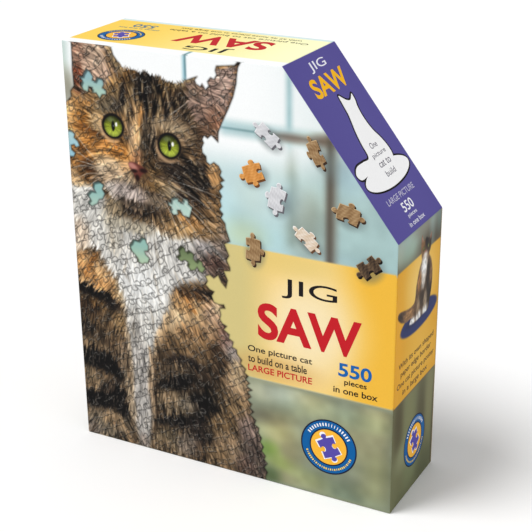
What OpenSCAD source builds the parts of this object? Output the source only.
// Boxed jigsaw puzzle: a five-sided rigid box with one corner cut off, standing upright.
// A full-depth lid slips over a tray. The tray holds a sealed bag of loose die-cut pieces
// and a folded picture leaflet. X is the width, Y the depth (the picture faces -Y) and
// Z the height. The origin is on the floor, under the middle of the box.

/* [Box] */
// Width of the closed box, over the paper
box_w = 251; // [220:1:280]
// Height of the closed box, over the paper
box_h = 305; // [280:1:330]
// Depth of the closed box, over the paper
box_d = 78; // [70:1:90]
// How much of the width the cut corner takes
cut_w = 82; // [60:1:100]
// How much of the height the cut corner takes
cut_h = 106; // [70:1:120]

/* [Board and paper] */
// Thickness of the greyboard
board_t = 2; // [1.5:0.1:2.5]
// Thickness of the printed paper with its glue
paper_t = 0.25; // [0.15:0.05:0.4]
// How far the paper turns in at an open edge
turn_in = 16; // [10:1:25]
// Width of one leg of a corner tape
tape_w = 14; // [8:1:18]
// Thickness of a corner tape
tape_t = 0.2; // [0.1:0.05:0.2]

/* [Fit] */
// Gap all round between the lid's inside and the tray
fit_gap = 0.6; // [0.4:0.1:1]
// How far the lid's edge stops short of the tray's back
reveal = 0.8; // [0:0.1:2]

/* [Bag] */
// Width of the filled bag
bag_w = 216; // [190:1:220]
// Height of the filled bag, with its top seal
bag_h = 192; // [180:1:200]
// Thickness of the filled bag where it is fullest
bag_t = 56; // [54:1:58]
// Thickness of the bag's film
film_t = 0.2; // [0.1:0.05:0.3]
// Height of the flat sealed band along the bag's top
seal_h = 9; // [6:1:12]

/* [Loose pieces] */
// Layers in the heap of loose pieces, counted from the front of the bag to its back
heap_layers = 5; // [1:1:5]
// Side of a piece's body
piece_body = 17; // [15:1:18]
// Thickness of a piece
piece_t = 2; // [1.5:0.1:2.2]
// Radius of a knob
knob_r = 3; // [2.5:0.1:3.2]

/* [Leaflet] */
// Width of the folded leaflet
leaflet_w = 148; // [100:1:180]
// Height of the folded leaflet
leaflet_h = 205; // [150:1:210]
// Thickness of the folded leaflet
leaflet_t = 1.2; // [0.8:0.1:1.6]

/* [Hidden] */
$fn = 48;

// Places of the corners, counted anticlockwise from the bottom left, as seen from the front.
// Wall number n runs from corner n to the next corner.
BOTTOM = 0;
RIGHT = 1;
CUT = 2;
TOP = 3;
LEFT = 4;

front_y = -box_d / 2;
back_y = box_d / 2;
cut_l = sqrt(cut_w * cut_w + cut_h * cut_h);

// Lid, from the outside in
lid_board_out = paper_t;
lid_board_in = lid_board_out + board_t;
lid_in = lid_board_in + paper_t;
lid_mouth_y = back_y - reveal;
lid_face_in_y = front_y + paper_t + board_t;

// Tray, from the outside in
tray_out = lid_in + fit_gap;
tray_board_out = tray_out + paper_t;
tray_board_in = tray_board_out + board_t;
tray_in = tray_board_in + paper_t;
tray_mouth_y = lid_face_in_y + fit_gap;
tray_back_in_y = back_y - paper_t - board_t;

// Contents
rest_gap = 0.4;
content_z = tray_in + rest_gap;
bag_y = tray_back_in_y - rest_gap - bag_t / 2;
bag_foot_r = 20;
bag_full_h = 118;
bag_corner_r = 12;
leaflet_y = (tray_mouth_y + bag_y - bag_t / 2) / 2;
leaflet_paper_t = 0.3;
knob_out = 2.2;
piece_cols = 7;
piece_rows = 4;
piece_pitch = piece_body + 2 * (knob_out + knob_r) + 1.4;
layer_pitch = 8.8;
piece_tilt = 10;
heap_foot_gap = 8;

// The box's outline, seen from the front, drawn in by inset on every side
function outline(inset) = [
    [-box_w / 2 + inset, inset],
    [box_w / 2 - inset, inset],
    [box_w / 2 - inset, box_h - cut_h - inset * (cut_l - cut_h) / cut_w],
    [box_w / 2 - cut_w - inset * (cut_l - cut_w) / cut_h, box_h - inset],
    [-box_w / 2 + inset, box_h - inset]
];

function unit(v) = v / norm(v);

// Stands a front-view shape up and gives it its depth, from y0 back to y1
module between(y0, y1) {
    translate([0, y1, 0]) rotate([90, 0, 0]) linear_extrude(height = y1 - y0) children();
}

module solid_outline(inset) polygon(outline(inset));

module ring(outer, inner) {
    difference() {
        solid_outline(outer);
        solid_outline(inner);
    }
}

// One wall of greyboard, mitred where it meets the next one
module wall_board(place, outer, y0, y1) {
    a = outline(outer);
    b = outline(outer + board_t);
    next = (place + 1) % len(a);
    between(y0, y1) polygon([a[place], a[next], b[next], b[place]]);
}

// Gummed tape folded into each inside corner, over the joint of two walls
module corner_tapes(inset, y0, y1) {
    p = outline(inset);
    q = outline(inset + tape_t);
    count = len(p);
    for (i = [0 : count - 1]) {
        ahead = unit(p[(i + 1) % count] - p[i]) * tape_w;
        back = unit(p[(i + count - 1) % count] - p[i]) * tape_w;
        between(y0, y1)
            polygon([p[i] + back, p[i], p[i] + ahead, q[i] + ahead, q[i], q[i] + back]);
    }
}

// Lid

module lid_face_board() {
    color("darkkhaki") between(front_y + paper_t, lid_face_in_y) solid_outline(lid_board_out);
}

module lid_wall(place) {
    color("darkkhaki") wall_board(place, lid_board_out, lid_face_in_y, lid_mouth_y - paper_t);
}

module lid_corner_tapes() {
    color("burlywood")
        corner_tapes(lid_board_in, lid_face_in_y, lid_mouth_y - turn_in);
}

// The printed paper covers the face and the walls, and turns in over the open edge
module lid_printed_wrap() {
    color("gold") {
        between(front_y, front_y + paper_t) solid_outline(0);
        between(front_y + paper_t, lid_mouth_y) ring(0, paper_t);
        between(lid_mouth_y - paper_t, lid_mouth_y) ring(paper_t, lid_board_in);
        between(lid_mouth_y - turn_in, lid_mouth_y) ring(lid_board_in, lid_in);
    }
}

// Tray

module tray_back_board() {
    color("tan") between(tray_back_in_y, back_y - paper_t) solid_outline(tray_board_out);
}

module tray_wall(place) {
    color("tan") wall_board(place, tray_board_out, tray_mouth_y + paper_t, tray_back_in_y);
}

module tray_corner_tapes() {
    color("burlywood")
        corner_tapes(tray_board_in, tray_mouth_y + turn_in, tray_back_in_y);
}

module tray_printed_wrap() {
    color("steelblue") {
        between(back_y - paper_t, back_y) solid_outline(tray_out);
        between(tray_mouth_y, back_y - paper_t) ring(tray_out, tray_board_out);
        between(tray_mouth_y, tray_mouth_y + paper_t) ring(tray_board_out, tray_board_in);
        between(tray_mouth_y, tray_mouth_y + turn_in) ring(tray_board_in, tray_in);
    }
}

// Contents

// Half the bag's thickness at height z above its foot: a rounded foot, a full belly,
// and a shoulder that thins to the flat seal
function bag_half(z) =
    z < bag_foot_r ? bag_t / 2 - bag_foot_r + sqrt(bag_foot_r * bag_foot_r - pow(bag_foot_r - z, 2))
    : z < bag_full_h ? bag_t / 2
    : z < bag_h - seal_h
        ? 1 + (bag_t / 2 - 1) * (1 + cos(180 * (z - bag_full_h) / (bag_h - seal_h - bag_full_h))) / 2
    : 1;

module bag_side_view(inset) {
    heights = concat(
        [for (i = [0 : 6]) bag_foot_r * (1 - cos(15 * i))],
        [for (i = [0 : 7]) bag_full_h + (bag_h - seal_h - bag_full_h) * i / 7],
        [bag_h]
    );
    count = len(heights);
    last = count - 1;
    at = function(i) i == 0 ? inset : i == last ? bag_h - inset : heights[i];
    polygon(concat(
        [for (i = [0 : last]) [bag_half(heights[i]) - inset, at(i)]],
        [for (i = [last : -1 : 0]) [inset - bag_half(heights[i]), at(i)]]
    ));
}

module rounded_rectangle(w, h, r) {
    translate([-w / 2 + r, 0]) square([w - 2 * r, h]);
    translate([-w / 2, r]) square([w, h - 2 * r]);
    for (x = [-w / 2 + r, w / 2 - r], z = [r, h - r]) translate([x, z]) circle(r);
}

module bag_shape(inset) {
    intersection() {
        rotate([90, 0, 90]) linear_extrude(height = bag_w, center = true) bag_side_view(inset);
        between(-bag_t, bag_t)
            translate([0, inset])
                rounded_rectangle(bag_w - 2 * inset, bag_h - 2 * inset, bag_corner_r - inset);
    }
}

module piece_bag() {
    color("lightcyan", 0.4)
        translate([0, bag_y, content_z])
            difference() {
                bag_shape(0);
                bag_shape(film_t);
            }
}

// A die-cut piece: each side has a knob or the hole that a knob fits
module die_cut_piece(pattern) {
    difference() {
        union() {
            square(piece_body, center = true);
            for (side = [0 : 3])
                if (knob_at(pattern, side))
                    rotate(90 * side) translate([piece_body / 2 + knob_out, 0]) circle(knob_r);
        }
        for (side = [0 : 3])
            if (!knob_at(pattern, side))
                rotate(90 * side) translate([piece_body / 2 - knob_out, 0]) circle(knob_r);
    }
}

// Reads the pattern number as four yes-or-no answers, one for each side
function knob_at(pattern, side) = floor(pattern / pow(2, side)) % 2 == 1;

// The heap: each piece has a place of its own, is turned at random in its layer and leans a little
module loose_pieces() {
    per_layer = piece_cols * piece_rows;
    turns = rands(0, 360, per_layer * heap_layers, 11);
    leans = rands(-piece_tilt, piece_tilt, per_layer * heap_layers, 12);
    first_z = content_z + film_t + piece_pitch / 2 + heap_foot_gap;
    color("peru")
        for (layer = [0 : heap_layers - 1], row = [0 : piece_rows - 1], col = [0 : piece_cols - 1]) {
            n = layer * per_layer + row * piece_cols + col;
            translate([
                (col - (piece_cols - 1) / 2) * piece_pitch,
                bag_y + (layer - (heap_layers - 1) / 2) * layer_pitch,
                first_z + row * piece_pitch
            ])
                rotate([leans[n], 0, 0]) rotate([90, 0, 0]) rotate(turns[n])
                    linear_extrude(height = piece_t, center = true)
                        die_cut_piece((3 * n + 5 * layer) % 16);
        }
}

// A sheet folded once, with its fold at the left
module picture_leaflet() {
    leaf = leaflet_w - leaflet_t / 2;
    color("white")
        translate([-leaflet_w / 2, leaflet_y, content_z])
            linear_extrude(height = leaflet_h) {
                for (side = [-1, 1])
                    translate([leaflet_t / 2, side * (leaflet_t - leaflet_paper_t) / 2 - leaflet_paper_t / 2])
                        square([leaf, leaflet_paper_t]);
                difference() {
                    translate([leaflet_t / 2, 0]) circle(leaflet_t / 2);
                    translate([leaflet_t / 2, 0]) circle(leaflet_t / 2 - leaflet_paper_t);
                    translate([leaflet_t / 2, -leaflet_t]) square([leaflet_t, 2 * leaflet_t]);
                }
            }
}

lid_face_board();
lid_wall(BOTTOM);  // lid_wall_bottom
lid_wall(RIGHT);  // lid_wall_right
lid_wall(CUT);  // lid_wall_cut_corner
lid_wall(TOP);  // lid_wall_top
lid_wall(LEFT);  // lid_wall_left
lid_corner_tapes();
lid_printed_wrap();
tray_back_board();
tray_wall(BOTTOM);  // tray_wall_bottom
tray_wall(RIGHT);  // tray_wall_right
tray_wall(CUT);  // tray_wall_cut_corner
tray_wall(TOP);  // tray_wall_top
tray_wall(LEFT);  // tray_wall_left
tray_corner_tapes();
tray_printed_wrap();
piece_bag();
loose_pieces();
picture_leaflet();
